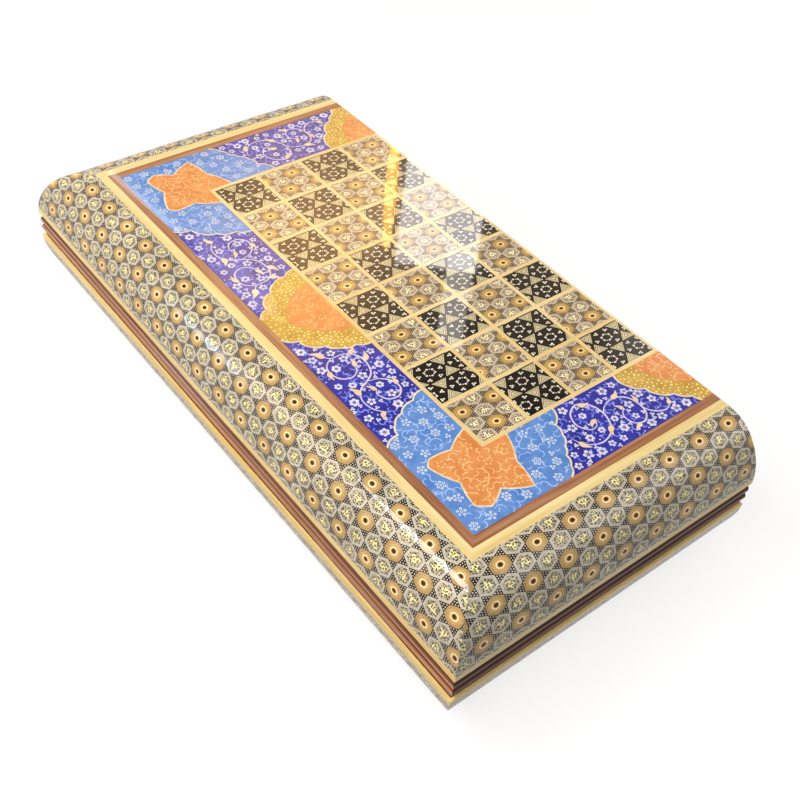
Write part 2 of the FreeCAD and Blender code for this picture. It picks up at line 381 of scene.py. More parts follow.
def straight_wood(name, tones, place_of, across=0.9 * MM, along=30 * MM, coat=1.0, hollow_shade_tint=None):
    """Straight-grained strip wood under lacquer: fine pale and dark streaks that run along the strip."""
    material, tree = new_material(name)
    pale, dark, streak = [linear(code) for code in tones]
    spread = (1 / along, 1 / across, 1 / across)
    grain = add(tree, "VectorMath", [place_of(tree), spread], operation="MULTIPLY")
    fine = add(tree, "TexNoise", {"Vector": grain, "Scale": 1.0, "Detail": 4.0, "Roughness": 0.6})
    broad = add(tree, "TexNoise", {"Vector": grain, "Scale": 0.23, "Detail": 2.0})
    ramp = add(tree, "MapRange", {"Value": fine, "From Min": 0.3, "From Max": 0.72})
    wide = add(tree, "MapRange", {"Value": broad, "From Min": 0.35, "From Max": 0.7})
    body = add(tree, "Mix", [ramp, pale, dark], data_type="RGBA")
    colour = add(tree, "Mix", [wide, body, streak], data_type="RGBA", blend_type="MULTIPLY")
    # Painted shade in the rim's recess and seam groove, where a shade tint is given
    if hollow_shade_tint:
        colour = painted_hollow_shade(tree, colour, hollow_shade_tint)
    lacquer(tree, colour, 0.38, fine, GRAIN_RELIEF, coat)
    return material


def along_x(tree):
    """Grain along X: the place on the object, in metres."""
    return add(tree, "TexCoord", output="Object")


def along_y(tree):
    """Grain along Y: the axes change places."""
    parts = add(tree, "SeparateXYZ", [along_x(tree)]).node.outputs
    return add(tree, "CombineXYZ", [parts["Y"], parts["X"], parts["Z"]])


def round_frame(tree):
    """Grain along each strip of a frame that is mitred at the two outer corners."""
    parts = add(tree, "SeparateXYZ", [along_x(tree)]).node.outputs
    from_end = add(tree, "Math", [parts["Y"]], operation="ABSOLUTE")
    from_end = add(tree, "Math", [face_high.y, from_end], operation="SUBTRACT")
    from_side = add(tree, "Math", [parts["X"], face_low.x], operation="SUBTRACT")
    is_end = add(tree, "Math", [from_end, from_side], operation="LESS_THAN")
    return add(tree, "Mix", [is_end, along_y(tree), along_x(tree)], data_type="VECTOR")


def along_grid(tree):
    """Grain along each strip of the chess grid."""
    parts = add(tree, "SeparateXYZ", [along_x(tree)]).node.outputs
    from_line = add(tree, "Math", [parts["Y"], SQUARE / 2], operation="PINGPONG")
    crosswise = add(tree, "Math", [from_line, GRID_STRIP / 2], operation="LESS_THAN")
    return add(tree, "Mix", [crosswise, along_y(tree), along_x(tree)], data_type="VECTOR")


SQRT3 = math.sqrt(3)


def unrolled_lattice(pitch, row, flower, first_row):
    """Lattice places on an unrolled side, in pitches, with the rows spread to even hexagons."""
    def place_of(tree):
        place = add(tree, "UVMap", uv_map="unrolled")
        moved = add(tree, "VectorMath", [place, (flower, first_row, 0)], operation="SUBTRACT")
        spread = (1 / pitch, SQRT3 / 2 / row, 0)
        return add(tree, "VectorMath", [moved, spread], operation="MULTIPLY")
    return place_of


def square_lattice(flower, slide):
    """Lattice places on the chess squares: every row of squares is a strip cut at another place."""
    def place_of(tree):
        parts = add(tree, "SeparateXYZ", [along_x(tree)]).node.outputs
        row_number = add(tree, "Math", [parts["Y"], SQUARE], operation="DIVIDE")
        row_number = add(tree, "Math", [row_number], operation="FLOOR")
        start = add(tree, "Math", [row_number, slide, flower], operation="MULTIPLY_ADD")
        x = add(tree, "Math", [parts["X"], start], operation="SUBTRACT")
        y = add(tree, "Math", [parts["Y"], SQUARE, 0.0], operation="WRAP")
        y = add(tree, "Math", [y, SQUARE_FIRST_ROW + SQUARE_ROW], operation="SUBTRACT")
        joined = add(tree, "CombineXYZ", [x, y])
        spread = (1 / SQUARE_PITCH, SQRT3 / 2 / SQUARE_ROW, 0)
        return add(tree, "VectorMath", [joined, spread], operation="MULTIPLY")
    return place_of


def nearest_cell(tree, place):
    """The place measured from the nearest point of a lattice of pitch 1 with half-offset rows."""
    half = (0.5, SQRT3 / 2, 0)
    most = (0.5, SQRT3 / 2, 1)
    least = (-0.5, -SQRT3 / 2, -1)
    moved = add(tree, "VectorMath", [place, half], operation="ADD")
    one = add(tree, "VectorMath", [place, most, least], operation="WRAP")
    other = add(tree, "VectorMath", [moved, most, least], operation="WRAP")
    one_far = add(tree, "VectorMath", [one], "Value", operation="LENGTH")
    other_far = add(tree, "VectorMath", [other], "Value", operation="LENGTH")
    nearer = add(tree, "Math", [other_far, one_far], operation="LESS_THAN")
    return add(tree, "Mix", [nearer, one, other], data_type="VECTOR")


def folded(tree, x, y, turn=0, half_sector=30):
    """Folds a place into one mirrored sector: how far along its edge, beside the edge and away."""
    square = add(tree, "Math", [x, x], operation="MULTIPLY")
    square = add(tree, "Math", [y, y, square], operation="MULTIPLY_ADD")
    far = add(tree, "Math", [square], operation="SQRT")
    angle = add(tree, "Math", [y, x], operation="ARCTAN2")
    angle = add(tree, "Math", [angle, math.radians(turn)], operation="ADD")
    angle = add(tree, "Math", [angle, math.radians(half_sector)], operation="PINGPONG")
    cosine = add(tree, "Math", [angle], operation="COSINE")
    sine = add(tree, "Math", [angle], operation="SINE")
    out = add(tree, "Math", [far, cosine], operation="MULTIPLY")
    beside = add(tree, "Math", [far, sine], operation="MULTIPLY")
    return out, beside, far


KHATAM_SIDE = {
    "ground": "#B0A58C", "band": "#C0B7A5", "star": "#EFE3A4", "speck": "#1E160E", "triangle": "#17110C",
    "dot": "#E9E1CB", "flower": "#B3925F", "inner": "#C7A269", "ring": "#FBE9B4", "glow": "#C48B48",
    "core": "#42220E",
}
KHATAM_LIGHT = {
    "ground": "#B5A48A", "band": "#C2B29C", "star": "#F3EABC", "speck": "#57432C", "triangle": "#44341F",
    "dot": "#DACAA8", "flower": "#AE8C54", "inner": "#C29B57", "ring": "#F8E4AC", "glow": "#CB9140",
    "core": "#4C280C",
}


def inlaid(tree, under, colour, measure, limit):
    """Sets a colour into another where a measure stays below a limit."""
    within = add(tree, "Math", [measure, limit], operation="LESS_THAN")
    return add(tree, "Mix", [within, under, colour], data_type="RGBA")


def khatam(name, palette, lattice, coat=1.0, ripple=FACE_RIPPLE):
    """Khatam marquetry: slivers of wood, bone and brass set as flowers, dotted triangles and stars."""
    material, tree = new_material(name)
    tint = {part: linear(code) for part, code in palette.items()}
    place = lattice(tree)
    cell = nearest_cell(tree, place)
    parts = add(tree, "SeparateXYZ", [cell]).node.outputs
    out, beside, far = folded(tree, parts["X"], parts["Y"])
    star_x = add(tree, "Math", [out, 0.5], operation="SUBTRACT")
    star_y = add(tree, "Math", [beside, 0.5 / SQRT3], operation="SUBTRACT")
    star_out, _, _ = folded(tree, star_x, star_y)
    tip_out, tip_beside, _ = folded(tree, star_x, star_y, -30, 60)

    grains = {"Vector": place, "Scale": GRAINS_PER_PITCH, "Randomness": GRAIN_STRAY}
    from_grain = add(tree, "TexVoronoi", grains, voronoi_dimensions="2D")
    reach = add(tree, "Math", [tip_beside, STAR_SHARPNESS, tip_out], operation="MULTIPLY_ADD")
    inlay = inlaid(tree, tint["ground"], tint["star"], reach, STAR_REACH)
    inlay = inlaid(tree, inlay, tint["speck"], from_grain, GRAIN_SIZE)
    colour = inlaid(tree, tint["band"], inlay, star_out, STAR_CELL)

    slope = add(tree, "Math", [beside, SQRT3, out], operation="MULTIPLY_ADD")
    colour = inlaid(tree, colour, tint["triangle"], slope, TRIANGLE_EDGE)
    spot = add(tree, "CombineXYZ", [out, beside])
    for at in TRIANGLE_DOTS:
        from_dot = add(tree, "VectorMath", [spot, (*at, 0)], "Value", operation="DISTANCE")
        colour = inlaid(tree, colour, tint["dot"], from_dot, TRIANGLE_DOT_RADIUS)

    rounded = add(tree, "Mix", [FLOWER_ROUNDING, out, far], data_type="FLOAT")
    colour = inlaid(tree, colour, tint["flower"], rounded, FLOWER_EDGE)
    for part, radius in FLOWER_RINGS:
        colour = inlaid(tree, colour, tint[part], far, radius)
    finish_khatam(tree, place, cell, colour, coat, ripple)
    return material


def finish_khatam(tree, place, cell, colour, coat=1.0, ripple=FACE_RIPPLE):
    """Shades each cell and each sliver a little apart, and lacquers the gently uneven whole."""
    centre = add(tree, "VectorMath", [place, cell], operation="SUBTRACT")
    chance = add(tree, "TexWhiteNoise", {"Vector": centre}, noise_dimensions="3D")
    shade = add(tree, "MapRange", {"Value": chance, "To Min": 0.88, "To Max": 1.06})
    grain = add(tree, "TexNoise", {"Vector": place, "Scale": 16.0, "Detail": 3.0})
    mottle = add(tree, "MapRange", {
        "Value": grain, "From Min": 0.3, "From Max": 0.7, "To Min": 0.82, "To Max": 1.1,
    })
    shade = add(tree, "Math", [shade, mottle], operation="MULTIPLY")
    colour = add(tree, "Mix", [1.0, colour, shade], data_type="RGBA", blend_type="MULTIPLY")
    swell = add(tree, "TexNoise", {"Vector": place, "Scale": 3.2, "Detail": 1.0})
    relief = add(tree, "Math", [swell, ripple / SLIVER_RELIEF, grain], operation="MULTIPLY_ADD")
    lacquer(tree, colour, 0.4, relief, SLIVER_RELIEF, coat)


def dark_khatam(name, lattice):
    """Dark khatam: ebony hexagons with bone flowers, and triangles of pale slivers between them."""
    material, tree = new_material(name)
    ebony, bone = linear("#0E0A07"), linear("#EDE6D6")
    pale, sliver = linear("#DCCFA2"), linear("#3A2C18")
    place = lattice(tree)
    cell = nearest_cell(tree, place)
    parts = add(tree, "SeparateXYZ", [cell]).node.outputs
    out, beside, _ = folded(tree, parts["X"], parts["Y"], 30)

    colour = ebony
    spot = add(tree, "CombineXYZ", [out, beside])
    for at, radius in BONE_DOTS:
        from_dot = add(tree, "VectorMath", [spot, (*at, 0)], "Value", operation="DISTANCE")
        colour = inlaid(tree, colour, bone, from_dot, radius)

    depth = add(tree, "Math", [out, SQRT3 / 4], operation="SUBTRACT")
    band = add(tree, "Math", [depth, SLIVER_BAND], operation="PINGPONG")
    rough = add(tree, "TexNoise", {"Vector": place, "Scale": 30.0, "Detail": 2.0})
    width = add(tree, "MapRange", {
        "Value": rough, "From Min": 0.35, "From Max": 0.65, "To Min": 0.004, "To Max": 0.014,
    })
    slivers = inlaid(tree, pale, sliver, band, width)
    colour = inlaid(tree, slivers, colour, depth, EBONY_EDGE)
    finish_khatam(tree, place, cell, colour)
    return material


def painted(name, code, second, patch):
    """Body colour laid on by brush: an even tone with soft darker and lighter patches under lacquer."""
    material, tree = new_material("painted_" + name)
    scaled = add(tree, "VectorMath", [along_x(tree), (1 / patch,) * 3], operation="MULTIPLY")
    wash = add(tree, "TexNoise", {"Vector": scaled, "Scale": 1.0, "Detail": 4.0, "Roughness": 0.6})
    share = add(tree, "MapRange", {"Value": wash, "From Min": 0.35, "From Max": 0.68})
    colour = add(tree, "Mix", [share, linear(code), linear(second)], data_type="RGBA")
    lacquer(tree, colour, 0.45, wash, BRUSH_RELIEF)
    return material


def brass(name, bright, dull, shine, cloud=9 * MM, mark=0.4 * MM, mark_length=12 * MM):
    """Polished brass: yellow metal with soft darker clouds and fine rubbing marks along its length."""
    material, tree = new_material(name)
    place = along_x(tree)
    spread = add(tree, "VectorMath", [place, (1 / cloud,) * 3], operation="MULTIPLY")
    clouds = add(tree, "TexNoise", {"Vector": spread, "Scale": 1.0, "Detail": 2.0})
    share = add(tree, "MapRange", {"Value": clouds, "From Min": 0.35, "From Max": 0.7})
    colour = add(tree, "Mix", [share, linear(bright), linear(dull)], data_type="RGBA")
    drawn = (1 / mark, 1 / mark_length, 1 / mark)
    rubbed = add(tree, "VectorMath", [place, drawn], operation="MULTIPLY")
    marks = add(tree, "TexNoise", {"Vector": rubbed, "Scale": 1.0, "Detail": 2.0})
    rough = add(tree, "MapRange", {"Value": marks, "To Min": shine[0], "To Max": shine[1]})
    shader = add(tree, "BsdfPrincipled", {"Base Color": colour, "Metallic": 1.0, "Roughness": rough})
    add(tree, "OutputMaterial", {"Surface": shader})
    return material


# Woods: pale tone, dark tone and the tint of the broad streaks
FRAME_BOXWOOD = ("#E6D49E", "#D6C288", "#F6EBD2")
GRID_BOXWOOD = ("#E4D09C", "#D4BA82", "#F6EBD2")
SIDE_BOXWOOD = ("#F0D994", "#DEBE76", "#F4E4C4")
FRAME_WALNUT = ("#B88864", "#845A40", "#D6B69C")
# The end walnut is painted darker as shade and the long walnut lighter as light: shaded and lit copies of
# one rim wood
SHADED_END_WALNUT = ("#82482A", "#462412", "#BC9078")
LIT_LONG_WALNUT = ("#C88C5C", "#8E5832", "#CCA68C")
FIELD_WALNUT = ("#7A4A2C", "#4E2A16", "#B08C74")
CORE_WOOD = ("#8A5230", "#5E3218", "#C4A088")
boxwood_frame = straight_wood("lacquered_boxwood_frame", FRAME_BOXWOOD, round_frame)
boxwood_grid = straight_wood("lacquered_boxwood_grid", GRID_BOXWOOD, along_grid)
boxwood_x = straight_wood("lacquered_boxwood_end", SIDE_BOXWOOD, along_x, coat=SIDE_COAT)
boxwood_y = straight_wood("lacquered_boxwood_long", SIDE_BOXWOOD, along_y, coat=SIDE_COAT)
walnut_frame = straight_wood("lacquered_walnut_frame", FRAME_WALNUT, round_frame, 0.7 * MM)
# Rim walnut: the shaded end copy and the lit long copy, each with its own tint of painted shade in the
# hollows
shaded_end_walnut = straight_wood("lacquered_walnut_end_painted_shade", SHADED_END_WALNUT, along_x, 0.7 * MM,
                         coat=END_RIM_COAT, hollow_shade_tint="#A89478")
lit_long_walnut = straight_wood("lacquered_walnut_long_painted_light", LIT_LONG_WALNUT, along_y, 0.7 * MM,
                         coat=LONG_RIM_COAT, hollow_shade_tint="#9E8C68")
core_x = straight_wood("lacquered_core_end", CORE_WOOD, along_x, 1.2 * MM)
core_y = straight_wood("lacquered_core_long", CORE_WOOD, along_y, 1.2 * MM)
field_wood = straight_wood("lacquered_walnut_field", FIELD_WALNUT, along_y, 1.6 * MM, 60 * MM)
end_lattice = unrolled_lattice(END_PITCH, SIDE_ROW, END_FLOWER, END_FIRST_ROW)
long_lattice = unrolled_lattice(LONG_PITCH, SIDE_ROW, LONG_FLOWER, LONG_FIRST_ROW)
end_khatam = khatam("khatam_marquetry_ends", KHATAM_SIDE, end_lattice, SIDE_COAT, SIDE_RIPPLE)
long_khatam = khatam("khatam_marquetry_long_side", KHATAM_SIDE, long_lattice, SIDE_COAT, SIDE_RIPPLE)
light_khatam = khatam("khatam_marquetry_light", KHATAM_LIGHT, square_lattice(SQUARE_FLOWER, -SQUARE_SLIDE))
dark_squares = dark_khatam("khatam_marquetry_dark", square_lattice(SQUARE_FLOWER, SQUARE_SLIDE))
ultramarine = painted("ultramarine", "#3335A2", "#23257A", 10 * MM)
polished_brass = brass("polished_brass", "#D6B368", "#C09A50", (0.38, 0.44))
screw_brass = brass("dull_brass", "#A88648", "#8A6C38", (0.42, 0.5))


# Carried-over CAD nodes

node_finish = {
    "cream_frame": boxwood_frame, "brown_frame": walnut_frame, "painted_border": ultramarine,
    "grid_strips": boxwood_grid, "dark_squares": dark_squares, "light_squares": light_khatam,
    "deck": core_y, "long_rail": core_y, "near_end_rail": core_x, "far_end_rail": core_x,
    "fold_rail": core_y, "fold_rim": lit_long_walnut, "field_panel": field_wood, "field_stringing": boxwood_y,
    "dark_points": dark_squares, "light_points": light_khatam, "hinge_screws": screw_brass,
}
for leaf in ("upper", "lower"):
    for part, material in node_finish.items():
        dress(nodes[leaf + "_" + part], material)
for hinge in ("hinge_1", "hinge_2"):
    for part in ("upper_plate", "lower_plate", "pin"):
        dress(nodes[hinge + "_" + part], polished_brass)


# Bulged sides


def side_pieces(side, start, end, edge, mitred):
    """The veneer, the cream strip and the rim of one side, still facing -Y."""
    made = {}
    for part in ("khatam", "stringing", "rim"):
        builder = beaded_rim if part == "rim" else bent_skin
        piece = builder("upper_" + side + "_" + part, start, end, edge)
        for corner in mitred:
            mitre(piece, edge, corner)
        if part == "khatam":
            cut(piece, (0, 0, strip_high.z), (0, 0, -1))
            unroll(piece, edge)
        if part == "stringing":
            cut(piece, (0, 0, strip_high.z), (0, 0, 1))
        smooth(piece)
        made[part] = piece
    return made


PAST_CORNER = BULGE_RUN + 5 * MM
end_pieces = side_pieces("near_end", face_low.x - PAST_CORNER, FOLD, face_high.y, [face_low.x])
long_reach = face_high.y + PAST_CORNER
long_pieces = side_pieces("long", -long_reach, long_reach, -face_low.x, [-face_high.y, face_high.y])
TURN_TO_SIDE = Matrix.Rotation(-RIGHT_ANGLE, 4, "Z")
for piece in long_pieces.values():
    piece.data.transform(TURN_TO_SIDE)

side_finish = {
    "khatam": ("side_marquetry", end_khatam, long_khatam),
    "stringing": ("cream_inlay", boxwood_x, boxwood_y),
    "rim": ("rim_wood", shaded_end_walnut, lit_long_walnut),
}
for part, (slot, end_material, long_material) in side_finish.items():
    near = end_pieces[part]
    far = copied(near, "upper_far_end_" + part, MIRROR_ENDS)
    uppers = {"near_end": near, "far_end": far, "long": long_pieces[part]}
    for side, piece in uppers.items():
        material = long_material if side == "long" else end_material
        twin = copied(piece, "lower_" + side + "_" + part, MIRROR_LEAVES)
        for leaf, shown in (("upper", piece), ("lower", twin)):
            stands_for = leaf + "_side_stringing" if part == "stringing" else leaf + "_" + side + "_" + part
            settle(shown, leaf + "_leaf", slot, material, stands_for)


# Painted ornament, drawn in millimetres for the near half of the upper face

BOW_STEPS = 8
FLOW_STEPS = 7
CURL_STEPS = 9
SIDE_EDGE = panel_low.x / MM
END_EDGE = panel_low.y / MM
GRID_X = grid_low.x / MM
GRID_Y = grid_low.y / MM
FOLD_X = FOLD / MM
OUTLINE_STEP = 1.5
TAPER_TIP = 0.25
ANY_TURN = 6.28
CURL_SWEEP = (2.0, 4.4)
CURL_TIGHTENING = 0.4
LEAF_SHAPE = ((0, -0.08), (0.25, -0.24), (0.55, -0.2), (1, 0.16), (0.6, 0.12), (0.3, 0.2), (0.05, 0.1))
FILM = 0.05
PAINTED = "upper_painted_"
random.seed(11)


def lobed(corners, bulge=0.13):
    """Corners joined by even bows that swell to the right-hand side of the way."""
    path = []
    for (ax, ay), (bx, by) in zip(corners, corners[1:]):
        for step in range(BOW_STEPS):
            part = step / BOW_STEPS
            swell = 4 * bulge * part * (1 - part)
            x = ax + (bx - ax) * part + (by - ay) * swell
            y = ay + (by - ay) * part - (bx - ax) * swell
            path.append((x, y))
    return path + [corners[-1]]


def flowing(points):
    """A smooth path through the points."""
    held = [points[0]] + points + [points[-1]]
    path = []
    for four in zip(held, held[1:], held[2:], held[3:]):
        for step in range(FLOW_STEPS):
            t = step / FLOW_STEPS
            spot = []
            for a, b, c, d in zip(*four):
                bend = (2 * a - 5 * b + 4 * c - d) * t * t + (3 * b - a - 3 * c + d) * t ** 3
                spot.append((2 * b + (c - a) * t + bend) / 2)
            path.append(tuple(spot))
    return path + [points[-1]]


def as_mesh(name, paths, closed, tapered=False, **settings):
    """Flat or round curves along the paths, made into one mesh."""
    data = bpy.data.curves.new(name, "CURVE")
    for key, value in settings.items():
        setattr(data, key, value)
    for path in paths:
        spline = data.splines.new("POLY")
        spline.points.add(len(path) - 1)
        spline.use_cyclic_u = closed
        for index, (x, y) in enumerate(path):
            spline.points[index].co = (x * MM, y * MM, 0, 1)
            if tapered:
                share = index / (len(path) - 1)
                swell = math.sin(math.pi * share) ** 0.5
                spline.points[index].radius = TAPER_TIP + (1 - TAPER_TIP) * swell
    piece = bpy.data.objects.new(name, data)
    bpy.context.collection.objects.link(piece)
    pick(piece)
    bpy.ops.object.convert(target="MESH")
    return bpy.context.object


def plates(name, paths, films):
    """Flat painted areas, some films thick."""
    film = {"dimensions": "2D", "fill_mode": "BOTH", "extrude": films * FILM * MM}
    piece = as_mesh(PAINTED + name, paths, True, **film)
    piece.data.transform(Matrix.Translation((0, 0, TOP)))
    return piece


def strokes(name, paths, width, films, tapered=True):
    """Brush strokes: round beads pressed nearly flat, thinner towards their ends unless told otherwise."""
    bead = {"dimensions": "3D", "bevel_depth": width / 2 * MM, "bevel_resolution": 1}
    piece = as_mesh(PAINTED + name, paths, False, tapered, **bead)
    flat = Matrix.Scale(2 * (films * FILM) / width, 4, Vector((0, 0, 1)))
    piece.data.transform(Matrix.Translation((0, 0, TOP)) @ flat)
    return piece


def dabs(name, spots, films):
    """Dabs of paint: one flattened ball, copied to every spot at its own size and joined."""
    deselect()
    bpy.ops.mesh.primitive_uv_sphere_add(segments=8, ring_count=4, radius=1)
    first = bpy.context.object
    made = []
    for x, y, radius in spots:
        size = Matrix.Diagonal((radius * MM, radius * MM, films * FILM * MM, 1))
        made.append(copied(first, PAINTED + name, Matrix.Translation((x * MM, y * MM, TOP)) @ size))
    bpy.data.objects.remove(first)
    join(made)
    return made[0]


def inside(zone, x, y):
    """Whether a point lies inside a closed outline."""
    found = False
    for (ax, ay), (bx, by) in zip(zone, zone[1:] + zone[:1]):
        if (ay > y) != (by > y) and x < ax + (bx - ax) * (y - ay) / (by - ay):
            found = not found
    return found


def outline_points(zone):
    """Points at short even steps along a closed outline."""
    points = []
    for (ax, ay), (bx, by) in zip(zone, zone[1:] + zone[:1]):
        pieces = max(1, int(math.hypot(bx - ax, by - ay) / OUTLINE_STEP))
        points += [(ax + (bx - ax) * i / pieces, ay + (by - ay) * i / pieces) for i in range(pieces)]
    return points


def room(spot, points):
    """How far a spot lies from the nearest of some points."""
    return min(math.hypot(spot[0] - x, spot[1] - y) for x, y in points)


def filled_in(zone, margin, apart, clear=(), hole=(), tries=2600):
    """Random spots in a zone but not its hole, apart from each other, the outline and other points."""
    taken = outline_points(zone) + list(clear)
    wide = [p[0] for p in zone]
    deep = [p[1] for p in zone]
    spots = []
    for _ in range(tries):
        spot = (random.uniform(min(wide), max(wide)), random.uniform(min(deep), max(deep)))
        if not inside(zone, *spot) or room(spot, taken) < margin:
            continue
        if not spots or room(spot, spots) > apart:
            spots.append(spot)
    return [spot for spot in spots if not inside(hole, *spot)]


def away_from(spots, others, gap):
    """The spots that keep a gap from every other one."""
    return [s for s in spots if all(math.hypot(s[0] - o[0], s[1] - o[1]) > gap for o in others)]


def flower(x, y, count, reach, radius):
    """The petals of one flower."""
    spin = random.uniform(0, ANY_TURN)
    turns = [spin + 2 * math.pi * i / count for i in range(count)]
    return [(x + reach * math.cos(a), y + reach * math.sin(a), radius) for a in turns]


def hearts(petals, radius):
    """A smaller dab in the middle of each petal."""
    return [(x, y, radius) for x, y, _ in petals]


def comma(x, y, radius):
    """A small curled stroke that tightens towards its end."""
    start = random.uniform(0, ANY_TURN)
    sweep = random.choice((-1, 1)) * random.uniform(*CURL_SWEEP)
    path = []
    for step in range(CURL_STEPS + 1):
        share = step / CURL_STEPS
        turn = start + sweep * share
        pull = radius * (1 - CURL_TIGHTENING * share)
        path.append((x + pull * math.cos(turn), y + pull * math.sin(turn)))
    return path


def hooked_leaf(x, y, length, heading):
    """A hooked leaf with a round belly."""
    cosine, sine = math.cos(math.radians(heading)), math.sin(math.radians(heading))
    points = []
    for u, v in LEAF_SHAPE:
        points.append((x + length * (u * cosine - v * sine), y + length * (u * sine + v * cosine)))
    return points


blue_end_edge = lobed([(-1.7, END_EDGE), (4.3, -193.9), (7.8, -186.3), (12.2, -180.5), (17.6, -173.0),
                       (19.6, -164.6), (27.8, GRID_Y)])
blue_side_edge = lobed([(GRID_X, -96.0), (-39.5, -100.4), (-52.5, -105.5), (-61.5, -111.0), (-65.0, -118.2),
                        (SIDE_EDGE, -122.9)])
blue_zone = [(SIDE_EDGE, END_EDGE)] + blue_end_edge + [(GRID_X, GRID_Y)] + blue_side_edge
star_edge = lobed([(GRID_X, -136.0), (-46.4, -145.0), (-62.0, -143.6), (-66.4, -148.0), (-58.2, -167.6),
                   (-62.4, -185.0), (-54.5, -190.6), (-41.8, -183.5), (-24.0, -193.0), (-20.0, -173.0),
                   (-10.5, GRID_Y)], 0.045)
star_zone = star_edge + [(GRID_X, GRID_Y)]
gold_side_edge = lobed([(SIDE_EDGE, -11.5), (-67.5, -18.5), (-63.0, -28.0), (-56.0, -31.0), (-49.0, -38.0),
                        (-38.5, -40.5), (GRID_X, -44.0)])
gold_side_zone = [(SIDE_EDGE, 0)] + gold_side_edge + [(GRID_X, 0)]
gold_end_edge = lobed([(81.5, GRID_Y), (82.5, -165.5), (90.5, -173.0), (93.0, -180.5), (102.5, -186.5),
                       (111.0, -194.5), (114.0, END_EDGE)])
gold_end_zone = gold_end_edge + [(FOLD_X, END_EDGE), (FOLD_X, GRID_Y)]
heart_side_edge = lobed([(-62.0, 0), (-58.5, -8.5), (-52.0, -15.0), (-43.0, -21.5), (GRID_X, -25.0)])
heart_side_zone = heart_side_edge + [(GRID_X, 0)]
heart_end_edge = lobed([(99.5, GRID_Y), (103.0, -167.0), (109.5, -176.0), (116.0, -182.5),
                        (FOLD_X, -186.0)])
heart_end_zone = heart_end_edge + [(FOLD_X, GRID_Y)]
deep_end_zone = blue_end_edge[::-1] + gold_end_edge[::-1]
deep_side_zone = blue_side_edge[::-1] + gold_side_edge[::-1]

stems = [
    flowing([(19.7, -177.9), (23.0, -185.5), (30.0, -190.3), (37.6, -190.7), (46.1, -186.4), (51.4, -176.5),
             (50.8, -166.5), (46.0, -160.6), (40.4, -159.3), (33.3, -163.6), (30.4, -172.1), (34.7, -179.3),
             (40.4, -179.3), (44.0, -174.3)]),
    flowing([(51.2, -175.0), (55.0, -171.0), (61.5, -168.2), (69.0, -168.6), (74.6, -173.0), (76.6, -180.5),
             (75.0, -188.0), (69.0, -192.9), (62.6, -191.0), (60.4, -185.0), (62.5, -180.0),
             (66.1, -178.8)]),
    flowing([(76.4, -183.5), (78.2, -187.8), (81.6, -191.2), (87.6, -193.4), (93.3, -191.4)]),
    flowing([(-60.0, -42.6), (-66.2, -47.2), (-68.0, -54.3), (-65.1, -61.2), (-58.5, -63.8), (-52.4, -60.4),
             (-51.2, -55.0)]),
    flowing([(-64.0, -37.0), (-60.0, -42.6), (-50.8, -43.6), (-44.4, -49.4), (-43.2, -58.0), (-46.4, -66.8),
             (-53.2, -71.6), (-61.0, -75.8), (-65.5, -83.6), (-64.4, -93.0), (-58.5, -100.0)]),
    flowing([(-53.2, -71.6), (-45.4, -73.8), (-39.6, -79.8), (-39.0, -87.2), (-44.0, -92.3), (-51.2, -91.2),
             (-54.6, -84.6), (-52.0, -80.0)]),
]

# Leaves on the stems: where each one starts, how long it is and which way it points
leaf_places = [
    (42.5, -160.0, 8.0, -25), (43.8, -175.0, 7.5, 200), (21.5, -183.0, 8.5, -70), (48.5, -184.0, 8.5, 225),
    (65.0, -168.0, 8.5, 20), (76.5, -179.0, 7.0, 70), (65.5, -193.0, 7.0, 200), (65.0, -178.8, 6.5, 110),
    (92.5, -191.4, 6.5, 50), (-63.0, -40.0, 10.0, 120), (-67.8, -52.0, 8.0, 250), (-51.4, -57.0, 7.5, 70),
    (-43.0, -56.0, 9.0, 50), (-63.5, -79.5, 9.0, 100), (-53.0, -81.0, 7.0, 110), (-39.0, -84.0, 7.0, 75),
    (-60.0, -98.0, 7.5, 230), (-48.0, -45.5, 8.0, 30),
]
leaves = [hooked_leaf(*place) for place in leaf_places]
stem_points = [point for path in stems for point in path]
leaf_points = [point for shape in leaves for point in shape]

# Shares of the small figures on each blue
DEEP_TREFOILS = 0.25
DEEP_DOTS = 0.14
BLUE_TREFOILS = 0.14

# Radii of single dabs
OCHRE_HEART = 0.5
LONE_DOT = 0.55
RING_CENTRE = 0.95
RING_HEART = 0.5
RING_CENTRE_HEART = 0.45
TREFOIL_HEART = 0.42
BROWN_HEART = 0.45

white_petals = []
ochre_hearts = []
ring_petals = []
ring_hearts = []
pale_curls = []
sky_curls = []
warm_curls = []
yellow_dots = []
brown_dots = []

for zone in (deep_end_zone, deep_side_zone):
    big = filled_in(zone, margin=3.9, apart=8.6, clear=stem_points + leaf_points)
    for x, y in big:
        size = random.uniform(0.85, 1.2)
        white_petals += flower(x, y, random.choice((5, 5, 6)), reach=1.95 * size, radius=1.1 * size)
        ochre_hearts.append((x, y, OCHRE_HEART * size))
    small = filled_in(zone, margin=1.4, apart=2.7, clear=stem_points + leaf_points)
    for x, y in away_from(small, big, gap=4.0):
        kind = random.random()
        if kind < DEEP_TREFOILS:
            white_petals += flower(x, y, count=3, reach=0.9, radius=0.75)
        elif kind < 1 - DEEP_DOTS:
            sky_curls.append(comma(x, y, random.uniform(1.5, 2.8)))
        else:
            white_petals.append((x, y, LONE_DOT))

